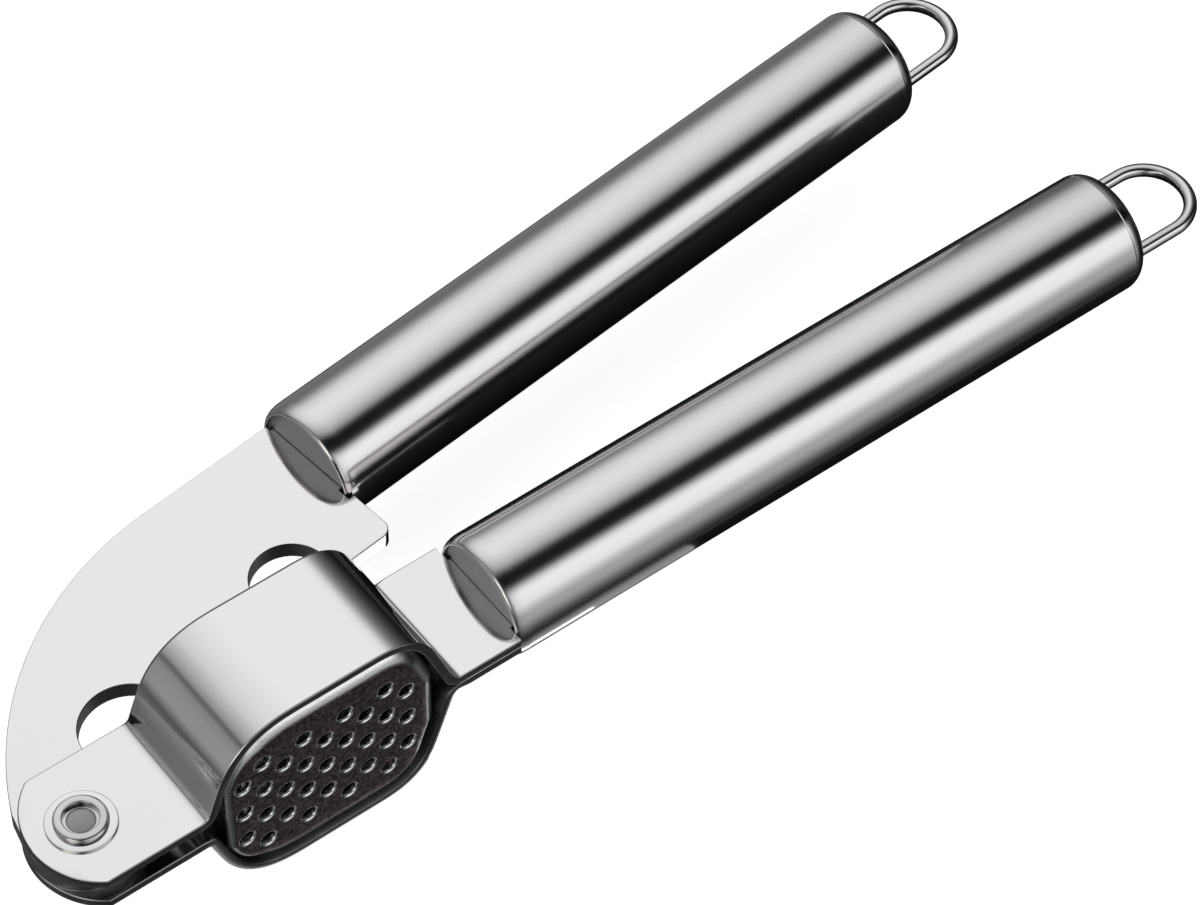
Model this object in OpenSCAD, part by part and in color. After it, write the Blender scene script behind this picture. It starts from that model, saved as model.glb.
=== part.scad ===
// Garlic press with two round handles, lying on its side.
// Origin: centre of the flat outer face of the rear basket wall, which rests on the table.
// X runs from the pivot towards the hanging loops, Y from the sieve towards the upper handle,
// Z is up, along the pivot. The middle plane of the press is at Z = basket_w / 2.

/* [Side plates] */
// Thickness of the side sheets
sheet_t = 1.4; // [1:0.1:2]
// Width of the bent strip, which is the depth of the basket
strip_w = 19.6; // [16:0.2:26]
// Radius of the round end of each ear
ear_r = 11.8; // [10.5:0.1:16]
// Distance from the pivot to the centre of the ear's round end
ear_x = 4.2; // [0:0.1:5]
// Distance from the pivot to the fold where the basket starts
fold_x = 12.3; // [10:0.1:16]
// Distance from the pivot to the fold where the two sheets meet again
meet_x = 53.8; // [46:0.2:64]
// Width of the basket over its outer faces
basket_w = 33; // [26:0.5:40]
// Angle of the slanted ends of the basket
jog_angle = 70; // [60:1:80]
// Bend radius of the folds, at the middle of the sheet
fold_r = 2.0; // [1.5:0.1:3]
// Bend radius of the basket corner near the pivot, at the middle of the sheet
corner_near_r = 8.3; // [4:0.1:9]
// Bend radius of the basket corner near the handle, at the middle of the sheet
corner_far_r = 6.8; // [4:0.1:9]
// Length of the tangs inside the handles
tang_len = 24; // [15:1:40]

/* [Pivot] */
// Outer diameter of the rivet barrel
rivet_d = 6.0; // [5:0.1:7]
// Diameter of the rivet core
core_d = 4.0; // [3:0.1:4.4]
// Diameter of the rivet heads
head_d = 7.5; // [7.2:0.1:8.5]
// Height of the rivet heads
head_h = 0.9; // [0.6:0.05:1.4]
// Diameter of the round recess in the front rivet head
recess_d = 4.9; // [4.5:0.1:6]
// Depth of that recess
recess_h = 0.75; // [0.3:0.05:0.85]
// Diameter of the washers under the rivet heads
washer_d = 9.8; // [9:0.1:12]
// Thickness of the washers
washer_t = 0.35; // [0.2:0.05:0.8]

/* [Fits] */
// Gap between the lever plate and each ear
side_gap = 0.10; // [0.05:0.01:0.3]
// Radial clearance of the turning joints
run_gap = 0.05; // [0.02:0.01:0.1]
// Gap between the heel and the edge of the side plates when the press is closed
stop_gap = 0.10; // [0.05:0.01:0.5]
// Gap between the sieve and the press plate when the press is closed
face_gap = 0.30; // [0.1:0.05:1]
// Gap at the sides and the far end between the press plate and the wall of the sieve
plate_gap = 0.60; // [0.3:0.05:1.5]
// Extra gap at the end near the pivot, where the press plate swings inwards as it lifts
swing_gap = 2.2; // [2:0.1:3]
// Gap between the edges of the tangs and the inside of the tubes
tang_gap = 1.05; // [0.1:0.05:3]
// Gap round the tangs in the slotted caps
slot_gap = 0.05; // [0.02:0.01:0.3]

/* [Sieve] */
// Thickness of the sieve sheet
sieve_t = 0.9; // [0.6:0.1:1.5]
// Depth of the sieve's underside inside the edge of the basket
sieve_set = 0; // [0:0.1:4]
// Height of the sieve's turned-up wall above its underside
sieve_h = 4.0; // [2:0.1:6]
// Gap between the sieve's wall and the basket
sieve_gap = 0.03; // [0.01:0.01:0.1]
// Distance from the pivot to the near end of the sieve
sieve_near_x = 16.1; // [15.6:0.1:20]
// Distance from the far end of the sieve back to the fold at the handle
sieve_far_back = 3.7; // [3:0.1:7]
// Diameter of the sieve holes
hole_d = 2.2; // [1.2:0.1:2.6]
// Distance between neighbouring holes along the handle
hole_pitch = 6.5; // [5:0.1:7]
// Distance between the rows of holes
row_pitch = 2.87; // [2.4:0.01:3.4]
// Number of rows of holes
hole_rows = 7; // [3:2:7]
// Holes in the longer rows
row_holes = 5; // [3:1:5]
// How far the hole pattern sits towards the rear wall
hole_shift = 0.3; // [0:0.1:2]
// How far the hole pattern sits towards the pivot from the middle of the basket
hole_back = 1.2; // [0:0.05:1.5]

/* [Handles] */
// Outer diameter of the handle tubes
tube_d = 18.5; // [17:0.1:22]
// Wall of the handle tubes
tube_wall = 1.0; // [0.6:0.1:1.5]
// Length of each handle tube with its end cap
tube_len = 112.4; // [80:1:140]
// Distance from the fold at the handle to the mouth of the lower tube
mouth_back = 9.9; // [5:0.1:20]
// Distance from the pivot to the mouth of the upper tube, with the handles side by side
upper_mouth_x = 61.4; // [58:0.1:78]
// Distance between the two handle axes with the handles side by side
handle_rise = 26.3; // [24:0.1:30]
// Thickness of the slotted front caps
cap_t = 1.5; // [1:0.1:3]
// How far the front caps sit inside the tube mouths
cap_set = 0.4; // [0.2:0.1:1]
// Radius of the rounded edge of the end caps
end_r = 2.7; // [1:0.1:4]
// Length of the spigot of the end caps inside the tube
spigot_len = 3.0; // [1:0.1:6]
// Diameter of the loop wire
wire_d = 2.0; // [1.5:0.1:3]
// Depth of the middle of each loop leg inside the outer face of the tube
loop_in = 2.95; // [2.5:0.05:5]
// How far a loop reaches beyond the end of its handle
loop_reach = 14.6; // [10:0.1:20]

/* [Lever plate] */
// Thickness of the lever plate
lever_t = 2.8; // [2:0.1:4]
// Height of the level top edge above the pivot
top_y = 34.4; // [33:0.1:35]
// Radius of the curved back
back_r = 51.2; // [50.5:0.1:52]
// Distance from the pivot to the place where the back becomes level
back_x = 39.5; // [38:0.1:40]
// Radius of the hub round the pivot
hub_r = 7.6; // [6:0.1:8]
// Height above the pivot where the back runs down straight to the hub
hub_blend_y = 8.0; // [8:0.1:12]
// Centre of the round top of the near notch, along the handle
near_notch_x = 14.9; // [14:0.1:16]
// Height of that centre above the pivot
near_notch_y = 8.3; // [8:0.1:14]
// Radius of the near notch
near_notch_r = 6.9; // [5:0.1:7]
// Centre of the round top of the far notch, along the handle
far_notch_x = 46.6; // [45.5:0.1:47]
// Height of that centre above the pivot
far_notch_y = 12.3; // [8:0.1:14]
// Radius of the far notch
far_notch_r = 5.7; // [4:0.1:6]
// Height of the heel's lower edge above the pivot, with the handles side by side
heel_y = 8.9; // [8.5:0.1:9.6]
// How far the heel reaches past the mouth of the upper tube
heel_past = 0.9; // [0.5:0.1:1.2]
// Corner radius of the heel
heel_r = 1.8; // [1:0.1:3]

/* [Press head] */
// Distance from the pivot to the head pin, along the handle
pin_x = 33.0; // [31:0.1:35]
// Height of the head pin above the pivot, with the handles side by side
pin_y = 1.0; // [0:0.1:2]
// Diameter of the head pin
pin_d = 4.0; // [3:0.1:5]
// Radius of the lug's round end
lug_r = 4.7; // [4:0.1:5]
// Thickness of the press plate
plate_t = 2.4; // [1.5:0.1:2.6]
// Thickness of the bracket
bracket_t = 1.0; // [0.8:0.1:1.1]
// Length of the bracket along the handle
bracket_len = 12; // [10:0.5:16]

/* [Positions] */
// Angle of the upper handle above side by side, as the press lies
rest_open = 6.4; // [4:0.1:12]
// Turn of the press head on its pin for each degree that the lever opens
head_follow = -0.25; // [-0.25:0.01:0]

/* [Hidden] */
$fn = 96;
eps = 1;                                   // overshoot of a cutting solid
basket_mid = (fold_x + meet_x) / 2;        // middle of the basket, from the pivot
strip_h = strip_w / 2;
ear_in = lever_t / 2 + side_gap;           // inner face of an ear, from the middle plane
ear_out = ear_in + sheet_t;
wall_in = basket_w / 2 - sheet_t;          // inner face of a basket wall
tube_r = tube_d / 2;
bore_r = tube_r - tube_wall;               // inside of a handle tube
seat = ear_out + washer_t;                 // where the rivet heads sit
tang_w = 2 * (bore_r - tang_gap);
loop_w = tube_d - 2 * loop_in;             // between the two legs of a loop, centre to centre
lower_mouth_x = meet_x + mouth_back;
shoulder_x = lower_mouth_x - slot_gap;     // the side plates narrow to the tang here

// Side plate bends: each jog is a fold, a slanted straight and a rounded corner
function jog_straight(rise, r1, r2) = (rise - (r1 + r2) * (1 - cos(jog_angle))) / sin(jog_angle);
function jog_length(rise, r1, r2) =
    (r1 + r2) * sin(jog_angle) + jog_straight(rise, r1, r2) * cos(jog_angle);
near_rise = (basket_w - sheet_t) / 2 - (ear_in + sheet_t / 2);
far_rise = (basket_w - sheet_t) / 2 - sheet_t / 2;
near_len = jog_length(near_rise, fold_r, corner_near_r);
far_len = jog_length(far_rise, fold_r, corner_far_r);
wall_len = meet_x - fold_x - near_len - far_len;
plate_start = ear_x - ear_r;

hub_sink = 0.2;                            // the straight run ends this far inside the hub
bend_steps = 14;                           // flats in each bend of a side plate

// Lever and head angles
heel_near_x = far_notch_x + far_notch_r;
heel_far_x = upper_mouth_x + heel_past;
stop_angle = asin((strip_h + stop_gap) / norm([heel_near_x, heel_y])) - atan2(heel_y, heel_near_x);
head_turn = head_follow * (rest_open - stop_angle) - stop_angle;
pin_closed_y = norm([pin_x, pin_y]) * sin(atan2(pin_y, pin_x) + stop_angle);
sieve_top = -strip_h + sieve_set + sieve_t;
plate_low = sieve_top + face_gap - pin_closed_y;  // underside of the press plate, from the pin
sieve_far_x = meet_x - sieve_far_back;

// A corner circle of the basket's inner outline, shrunk by off: [centre x, centre z, radius]
function near_corner(off) = [fold_x + near_len, (basket_w - sheet_t) / 2 - corner_near_r,
    corner_near_r - sheet_t / 2 - off];
function far_corner(off) = [meet_x - far_len, (basket_w - sheet_t) / 2 - corner_far_r,
    corner_far_r - sheet_t / 2 - off];

module at_pivot() translate([-basket_mid, 0, basket_w / 2]) children();
module on_lever() at_pivot() rotate(rest_open) children();
module on_head() on_lever() translate([pin_x, pin_y, 0]) rotate(head_turn) children();
module rear_side() mirror([0, 0, 1]) children();
// Lays an outline drawn in X and Z flat across the basket, from y0 up to y1
module across(y0, y1) translate([0, y1, 0]) rotate([90, 0, 0]) linear_extrude(y1 - y0) children();

// Places along the middle of a bent strip, as [point, direction]: each step of the strip is
// a straight length, the turn after it and the radius of that turn
function stations(steps, p, a = 0, i = 0) =
    i == len(steps) ? [[p, a]] :
    let (turn = steps[i][1], r = sign(turn) * steps[i][2],
        c = p + steps[i][0] * [cos(a), sin(a)] + r * [-sin(a), cos(a)],
        n = turn == 0 ? 0 : bend_steps)
    concat([[p, a]],
        [for (k = [0 : 1 : n - 1]) let (b = a + turn * k / n) [c + r * [sin(b), -cos(b)], b]],
        stations(steps, c + r * [sin(a + turn), -cos(a + turn)], a + turn, i + 1));

// The bent strip seen on edge
module bent_strip(steps, start) {
    path = stations(steps, start);
    last = len(path) - 1;
    function side(s, d) = s[0] + d * sheet_t / 2 * [-sin(s[1]), cos(s[1])];
    polygon(concat([for (s = path) side(s, -1)], [for (k = [last : -1 : 0]) side(path[k], 1)]));
}

// Face outline of a side plate: round ear, straight strip, narrow tang
module strip_face() {
    intersection() {
        translate([ear_x, 0]) circle(ear_r);
        translate([plate_start - eps, -strip_h]) square([ear_r + eps, strip_w]);
    }
    translate([ear_x, -strip_h]) square([shoulder_x - ear_x, strip_w]);
    translate([shoulder_x - eps, -tang_w / 2]) square([tang_len + eps, tang_w]);
}

module side_plate() {
    difference() {
        intersection() {
            across(-strip_h, strip_h) bent_strip([
                [fold_x - plate_start, jog_angle, fold_r],
                [jog_straight(near_rise, fold_r, corner_near_r), -jog_angle, corner_near_r],
                [wall_len, -jog_angle, corner_far_r],
                [jog_straight(far_rise, fold_r, corner_far_r), jog_angle, fold_r],
                [shoulder_x + tang_len - meet_x, 0, 0]],
                [plate_start, ear_in + sheet_t / 2]);
            translate([0, 0, -eps]) linear_extrude(basket_w / 2 + 2 * eps) strip_face();
        }
        cylinder(d = rivet_d, h = basket_w, center = true);
    }
}
module front_side_plate() color("gainsboro") at_pivot() side_plate();
module rear_side_plate() color("gainsboro") at_pivot() rear_side() side_plate();

// Inside outline of the basket, shrunk by off, with straight ends at x0 and x1
module basket_outline(off, x0, x1) {
    n = near_corner(off);
    f = far_corner(off);
    nt = [n[0] - n[2] * sin(jog_angle), n[1] + n[2] * cos(jog_angle)];
    ft = [f[0] + f[2] * sin(jog_angle), f[1] + f[2] * cos(jog_angle)];
    ne = nt[1] - (nt[0] - x0) * tan(jog_angle);
    fe = ft[1] - (x1 - ft[0]) * tan(jog_angle);
    half = wall_in - off;
    translate([n[0], -half]) square([f[0] - n[0], 2 * half]);
    for (s = [-1, 1]) {
        translate([n[0], s * n[1]]) circle(n[2]);
        translate([f[0], s * f[1]]) circle(f[2]);
    }
    polygon([[n[0], n[1]], nt, [x0, ne], [x0, -ne], [nt[0], -nt[1]], [n[0], -n[1]]]);
    polygon([[f[0], -f[1]], [ft[0], -ft[1]], [x1, -fe], [x1, fe], ft, [f[0], f[1]]]);
}

// Staggered rows of round holes: every other row is one hole shorter
module hole_field(d) {
    for (j = [0 : hole_rows - 1]) {
        count = row_holes - (j + 1) % 2;
        for (i = [0 : count - 1])
            translate([basket_mid - hole_back + (i - (count - 1) / 2) * hole_pitch,
                -hole_shift + (j - (hole_rows - 1) / 2) * row_pitch]) circle(d = d);
    }
}

module sieve_plate() color("dimgray") at_pivot() {
    low = -strip_h + sieve_set;
    difference() {
        across(low, low + sieve_h) basket_outline(sieve_gap, sieve_near_x, sieve_far_x);
        across(low + sieve_t, low + sieve_h + eps)
            basket_outline(sieve_gap + sieve_t, sieve_near_x + sieve_t, sieve_far_x - sieve_t);
        across(low - eps, low + sieve_t + eps) hole_field(hole_d);
    }
}

module rivet_barrel() color("silver") at_pivot() difference() {
    union() {
        translate([0, 0, -seat]) cylinder(d = rivet_d, h = 2 * seat);
        translate([0, 0, seat]) cylinder(d = head_d, h = head_h);
    }
    cylinder(d = core_d, h = 3 * seat, center = true);
    translate([0, 0, seat + head_h - recess_h]) cylinder(d = recess_d, h = head_h + eps);
}
module rivet_core() color("darkgray") at_pivot() {
    translate([0, 0, -seat]) cylinder(d = core_d, h = 2 * seat + head_h - recess_h);
    translate([0, 0, -seat - head_h]) cylinder(d = head_d, h = head_h);
}
module rivet_washer() translate([0, 0, ear_out]) difference() {
    cylinder(d = washer_d, h = washer_t);
    translate([0, 0, -eps]) cylinder(d = rivet_d, h = washer_t + 2 * eps);
}
module front_rivet_washer() color("lightgray") at_pivot() rivet_washer();
module rear_rivet_washer() color("lightgray") at_pivot() rear_side() rivet_washer();

// Turns a profile, drawn as [radius, distance along the handle], about the handle's axis
module along_handle(mouth_x) translate([mouth_x, 0, 0]) rotate([0, 90, 0]) rotate_extrude() children();

module handle_tube(mouth_x) along_handle(mouth_x)
    translate([bore_r, 0]) square([tube_wall, tube_len - end_r]);

module front_cap(mouth_x, tang_t) difference() {
    along_handle(mouth_x) translate([0, cap_set]) square([bore_r, cap_t]);
    translate([mouth_x - eps, -tang_w / 2 - slot_gap, -tang_t / 2 - slot_gap])
        cube([cap_set + cap_t + 2 * eps, tang_w + 2 * slot_gap, tang_t + 2 * slot_gap]);
}

// Domed disc that closes the tube, with a spigot inside it and two holes for the loop
module end_cap(mouth_x) difference() {
    along_handle(mouth_x + tube_len - end_r) {
        translate([0, -spigot_len]) square([bore_r, spigot_len]);
        square([tube_r - end_r, end_r]);
        intersection() {
            translate([tube_r - end_r, 0]) circle(end_r);
            translate([tube_r - end_r, 0]) square(end_r);
        }
    }
    for (s = [-1, 1]) translate([mouth_x + tube_len - end_r - spigot_len - eps, s * loop_w / 2, 0])
        rotate([0, 90, 0]) cylinder(d = wire_d, h = end_r + spigot_len + 2 * eps);
}

// Bent wire: two legs through the end cap, joined by a half ring
module hanging_loop(mouth_x) {
    bend_x = mouth_x + tube_len + loop_reach - (loop_w + wire_d) / 2;
    leg = bend_x - (mouth_x + tube_len - end_r - spigot_len);
    translate([bend_x, 0, 0]) {
        for (s = [-1, 1]) translate([-leg, s * loop_w / 2, 0]) rotate([0, 90, 0])
            cylinder(d = wire_d, h = leg);
        rotate(-90) rotate_extrude(angle = 180) translate([loop_w / 2, 0]) circle(d = wire_d);
    }
}

module on_upper() on_lever() translate([0, handle_rise, 0]) children();
module lower_handle_tube() color("silver") at_pivot() handle_tube(lower_mouth_x);
module lower_front_cap() color("gray") at_pivot() front_cap(lower_mouth_x, 2 * sheet_t);
module lower_end_cap() color("silver") at_pivot() end_cap(lower_mouth_x);
module lower_hanging_loop() color("gainsboro") at_pivot() hanging_loop(lower_mouth_x);
module upper_handle_tube() color("silver") on_upper() handle_tube(upper_mouth_x);
module upper_front_cap() color("gray") on_upper() front_cap(upper_mouth_x, lever_t);
module upper_end_cap() color("silver") on_upper() end_cap(upper_mouth_x);
module upper_hanging_loop() color("gainsboro") on_upper() hanging_loop(upper_mouth_x);

// Round-topped slot, open downwards
module notch(x, y, r) {
    deep = y + back_r;
    translate([x, y]) circle(r);
    translate([x - r, y - deep]) square([2 * r, deep]);
}

// The curved back, run down straight from a point q on the arc to the side of the hub
module curved_back() {
    centre_y = top_y - back_r;
    q = [back_x - sqrt(pow(back_r, 2) - pow(hub_blend_y - centre_y, 2)), hub_blend_y];
    touch = atan2(q[1], q[0]) + acos(hub_r / norm(q));
    t = (hub_r - hub_sink) * [cos(touch), sin(touch)];
    intersection() {
        translate([back_x, centre_y]) circle(back_r);
        polygon([t, [0, 0], [near_notch_x, hub_blend_y], [back_x, hub_blend_y],
            [back_x, top_y + eps], [-back_x, top_y + eps], t + 1.5 * (q - t)]);
    }
}

module heel() {
    low_x = heel_far_x - heel_r;
    under_tube = handle_rise - tube_r - slot_gap;
    translate([back_x, heel_y]) square([low_x - back_x, under_tube - heel_y]);
    translate([low_x, heel_y + heel_r]) circle(heel_r);
    translate([low_x, heel_y + heel_r]) square([heel_r, under_tube - heel_y - heel_r]);
}

module lug() {
    left = near_notch_x + near_notch_r;
    right = far_notch_x - far_notch_r;
    top = min(near_notch_y, far_notch_y);
    translate([pin_x, pin_y]) circle(lug_r);
    polygon([[pin_x - lug_r, pin_y], [pin_x + lug_r, pin_y], [right, hub_blend_y], [right, top],
        [left, top], [left, hub_blend_y]]);
}

module lever_outline() {
    difference() {
        union() {
            curved_back();
            translate([back_x, hub_blend_y])
                square([upper_mouth_x - slot_gap - back_x, top_y - hub_blend_y]);
        }
        notch(near_notch_x, near_notch_y, near_notch_r);
        notch(far_notch_x, far_notch_y, far_notch_r);
        translate([heel_near_x, hub_blend_y - eps])
            square([upper_mouth_x, heel_y + heel_r - hub_blend_y + eps]);
    }
    difference() {
        heel();
        notch(far_notch_x, far_notch_y, far_notch_r);
    }
    circle(hub_r);
    lug();
    translate([upper_mouth_x - eps, handle_rise - tang_w / 2]) square([tang_len, tang_w]);
}

module crescent_plate() color("gainsboro") on_lever() difference() {
    translate([0, 0, -lever_t / 2]) linear_extrude(lever_t) lever_outline();
    cylinder(r = rivet_d / 2 + run_gap, h = 2 * lever_t, center = true);
    translate([pin_x, pin_y, 0]) cylinder(r = pin_d / 2 + run_gap, h = 2 * lever_t, center = true);
}

bracket_in = lever_t / 2 + side_gap;       // inner face of a bracket cheek
bracket_out = bracket_in + bracket_t;
bracket_low = plate_low + plate_t;         // the bracket stands on the press plate
cheek_r = pin_d / 2 + 2;

module press_plate() color("darkgray") on_head() {
    inset = sieve_gap + sieve_t + plate_gap;
    across(plate_low, plate_low + plate_t) translate([-pin_x, 0]) intersection() {
        basket_outline(inset, sieve_near_x + inset, sieve_far_x - inset);
        translate([swing_gap, 0]) basket_outline(inset, sieve_near_x + inset, sieve_far_x - inset);
    }
}

module head_bracket() color("gray") on_head() difference() {
    union() {
        across(bracket_low, bracket_low + bracket_t)
            translate([-bracket_len / 2, -bracket_out]) square([bracket_len, 2 * bracket_out]);
        for (s = [-1, 1]) translate([0, 0, s * (bracket_in + bracket_t / 2)])
            linear_extrude(bracket_t, center = true) {
                circle(cheek_r);
                polygon([[-bracket_len / 2, bracket_low], [bracket_len / 2, bracket_low],
                    [cheek_r, 0], [-cheek_r, 0]]);
            }
    }
    cylinder(d = pin_d, h = basket_w, center = true);
}

module head_pin() color("silver") on_head() cylinder(d = pin_d, h = 2 * bracket_out, center = true);

front_side_plate();
rear_side_plate();
sieve_plate();
rivet_barrel();
rivet_core();
front_rivet_washer();
rear_rivet_washer();
lower_handle_tube();
lower_front_cap();
lower_end_cap();
lower_hanging_loop();
crescent_plate();
upper_handle_tube();
upper_front_cap();
upper_end_cap();
upper_hanging_loop();
press_plate();
head_bracket();
head_pin();
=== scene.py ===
import bmesh
import bpy
import numpy as np
from mathutils import Matrix
from mathutils.geometry import tessellate_polygon


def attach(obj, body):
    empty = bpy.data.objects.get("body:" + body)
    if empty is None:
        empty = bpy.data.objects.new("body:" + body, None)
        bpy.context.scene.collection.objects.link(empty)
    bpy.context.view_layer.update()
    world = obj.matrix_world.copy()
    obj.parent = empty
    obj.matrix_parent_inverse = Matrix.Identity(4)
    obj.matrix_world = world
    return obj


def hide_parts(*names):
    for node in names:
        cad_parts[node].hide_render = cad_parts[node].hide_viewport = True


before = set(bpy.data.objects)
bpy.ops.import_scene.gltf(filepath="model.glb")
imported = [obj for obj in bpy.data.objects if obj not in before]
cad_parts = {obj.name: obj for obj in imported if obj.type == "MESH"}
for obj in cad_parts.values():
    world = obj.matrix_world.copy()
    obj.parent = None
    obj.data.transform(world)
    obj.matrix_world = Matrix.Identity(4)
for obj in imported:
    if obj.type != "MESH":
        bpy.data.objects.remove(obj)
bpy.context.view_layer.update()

# ---------------------------------------------------------------------------------------------
# Camera. A long lens looks down on the press from the side of the sieve, over the ears, so the
# handles run away towards the upper right.
# ---------------------------------------------------------------------------------------------
across = (0.79761, -0.60315, 0.00618)
upwards = (0.46832, 0.62571, 0.62383)
ahead = (0.38013, 0.49468, -0.78154)
lens = bpy.data.cameras.new("studio_camera")
lens.sensor_width, lens.lens = 36, 141.63
lens.clip_start, lens.clip_end = 0.02, 20
camera = bpy.data.objects.new("studio_camera", lens)
bpy.context.scene.collection.objects.link(camera)
camera.matrix_world = Matrix.Translation((-0.1894, -0.3129, 0.5274)) @ Matrix(
    [[a, b, -c] for a, b, c in zip(across, upwards, ahead)]).to_4x4()
bpy.context.scene.camera = camera
bpy.context.scene.view_settings.view_transform = "Standard"

# ---------------------------------------------------------------------------------------------
# Light tent. Polished steel shows nothing but its surroundings, so the light is a white tent
# open towards the viewer: a bright roof behind the handles, a long dark gap above the viewer,
# a white front wall and a dark lower half, each running the length of the handles (along X).
# ---------------------------------------------------------------------------------------------


class Wire:
    """An output of a shader node. Sums and products of it add Math nodes, mix() blends colours,
    and make() adds any other node."""

    def __init__(self, tree, out=None):
        self.tree, self.out = tree, out

    def make(self, kind, settings=None, inputs=None, out=0):
        node = self.tree.nodes.new(kind)
        for key, value in (settings or {}).items():
            if key == "stops":
                marks = node.color_ramp.elements
                while len(marks) < len(value):
                    marks.new(1)
                for mark, (place, grey) in zip(marks, value):
                    mark.position = place
                    mark.color = (grey, grey, grey, 1)
            else:
                setattr(node, key, value)
        for key, value in (inputs or {}).items():
            if isinstance(value, Wire):
                self.tree.links.new(value.out, node.inputs[key])
            else:
                node.inputs[key].default_value = value
        return Wire(self.tree, node.outputs[out] if len(node.outputs) else None)

    def maths(self, operation, a, b):
        return self.make("ShaderNodeMath", {"operation": operation}, {0: a, 1: b})

    def __add__(self, other):
        return self.maths("ADD", self, other)

    def __radd__(self, other):
        return self.maths("ADD", other, self)

    def __sub__(self, other):
        return self.maths("SUBTRACT", self, other)

    def __rsub__(self, other):
        return self.maths("SUBTRACT", other, self)

    def __mul__(self, other):
        return self.maths("MULTIPLY", self, other)

    def __rmul__(self, other):
        return self.maths("MULTIPLY", other, self)

    def mix(self, factor, other, blend="MIX"):
        """This colour blended with another one, by a factor of 0 to 1."""
        return self.make("ShaderNodeMix", {"data_type": "RGBA", "blend_type": blend},
            {"Factor": factor, "A": self, "B": other}, out="Result")


tent = bpy.data.worlds.new("light_tent")
tent.use_nodes = True
tent.node_tree.nodes.clear()
bpy.context.scene.world = tent
wire = Wire(tent.node_tree)
way = wire.make("ShaderNodeTexCoord", out="Generated")
along, towards, above = (wire.make("ShaderNodeSeparateXYZ", {}, {0: way}, out=k) for k in range(3))
# Brightness round the handles' axis, by the angle from straight behind, up over the roof
ROUND = [(-90, .34), (-72, .30), (-58, .12), (-25, .20), (-6, .17), (6, .22), (16, .42), (28, .76),
    (40, .92), (52, .97), (62, .95), (72, .86), (82, .72), (91, .55), (97, .36), (102, .16),
    (107, .006), (126, .004), (130, .09), (134, .31), (139, .74), (147, 1.13), (168, 1.02), (178, .68),
    (185, .48), (198, .44), (210, .23), (220, .09), (232, .02), (239, .05), (248, .22), (262, .32)]
turned = wire.maths("ARCTAN2", 0 - towards, above) * (0.5 / np.pi) + 0.5
around = [((degrees + 90) / 360, grey) for degrees, grey in ROUND]
# The tent falls off towards its two ends, which lean over a little towards the front
ENDS = [(-1, .05), (-.66, .05), (-.60, .08), (-.54, .18), (-.47, .40), (-.36, .62), (-.25, .75),
    (-.13, .81), (-.01, .87), (.12, .91), (.26, .96), (.36, 1), (.46, .98), (.54, .90), (.61, .62),
    (.69, .32), (.78, .15), (.88, .06), (1, .05)]
# The side wall of the tent beyond the ears: mid grey down to the table, with a dark pole in it
SIDE = [(-1, .30), (-.87, .29), (-.82, .24), (-.76, .20), (-.725, .10), (-.69, .07), (-.655, .20),
    (-.60, .19), (-.50, .05), (-.42, 0)]
# That wall again by height: dim below the horizon, darkest just under it
LEVEL = [(-1, .62), (-.34, .58), (-.25, .34), (-.16, .72), (-.06, 1.08), (1, 1.08)]
ends_lean = 0.12
band = wire.make("ShaderNodeValToRGB", {"stops": around}, {0: turned})
ends, side, level = (
    wire.make("ShaderNodeValToRGB", {"stops": [((reach + 1) / 2, grey) for reach, grey in stops]},
        {0: part * 0.5 + 0.5})
    for stops, part in ((ENDS, along + ends_lean * towards), (SIDE, along), (LEVEL, above)))
side = side.mix(1.0, level, "MULTIPLY")
light = band.mix(1.0, ends, "MULTIPLY").mix(1.0, side, "ADD")
# A cream lamp low on the viewer's left, seen only by edges that turn away from the handles
lamp_left, lamp_colour = 0.54, (.95, .94, .86, 1)
left, front, up = (wire.make("ShaderNodeMapRange", {}, {0: part, 1: 0.06, 2: 0.18})
    for part in (0 - along - lamp_left, 0 - towards, above))
lamp = wire.make("ShaderNodeMix", {"data_type": "RGBA"},
    {"Factor": left * front * up, "A": (0, 0, 0, 1), "B": lamp_colour}, out="Result")
light = light.mix(1.0, lamp, "ADD")
glow = wire.make("ShaderNodeBackground", {}, {"Color": light, "Strength": 1.0})
wire.make("ShaderNodeOutputWorld", {}, {"Surface": glow})

# ---------------------------------------------------------------------------------------------
# Table, backdrop and cards. One pale matt disc lies under the press, inside a plain pale dome,
# and neither shows in the steel. Three flat cards show only in the steel.
# ---------------------------------------------------------------------------------------------


def pale(name, colour, glow_strength):
    """Matt paint with a glow of its own, so that shadows on it stay faint."""
    paint = bpy.data.materials.new(name)
    paint.use_nodes = True
    skin = paint.node_tree.nodes["Principled BSDF"]
    skin.inputs["Base Color"].default_value = (*colour, 1)
    skin.inputs["Roughness"].default_value = 0.9
    skin.inputs["Emission Color"].default_value = (1, 1, 1, 1)
    skin.inputs["Emission Strength"].default_value = glow_strength
    return paint


def bowl(radius, start, stop, rows=24, sides=64):
    """Part of a sphere round the origin: latitude runs from start to stop, longitude all round."""
    lon = np.linspace(0, 2 * np.pi, sides, endpoint=False)
    lat, lon = np.meshgrid(np.linspace(start, stop, rows), lon, indexing="ij")
    points = radius * np.stack([np.cos(lat) * np.cos(lon), np.cos(lat) * np.sin(lon), np.sin(lat)], -1)
    k = np.arange(rows * sides).reshape(rows, sides)
    n = np.roll(k, -1, 1)
    return points.reshape(-1, 3), np.stack([k[:-1], n[:-1], n[1:], k[1:]], -1).reshape(-1, 4)


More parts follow.
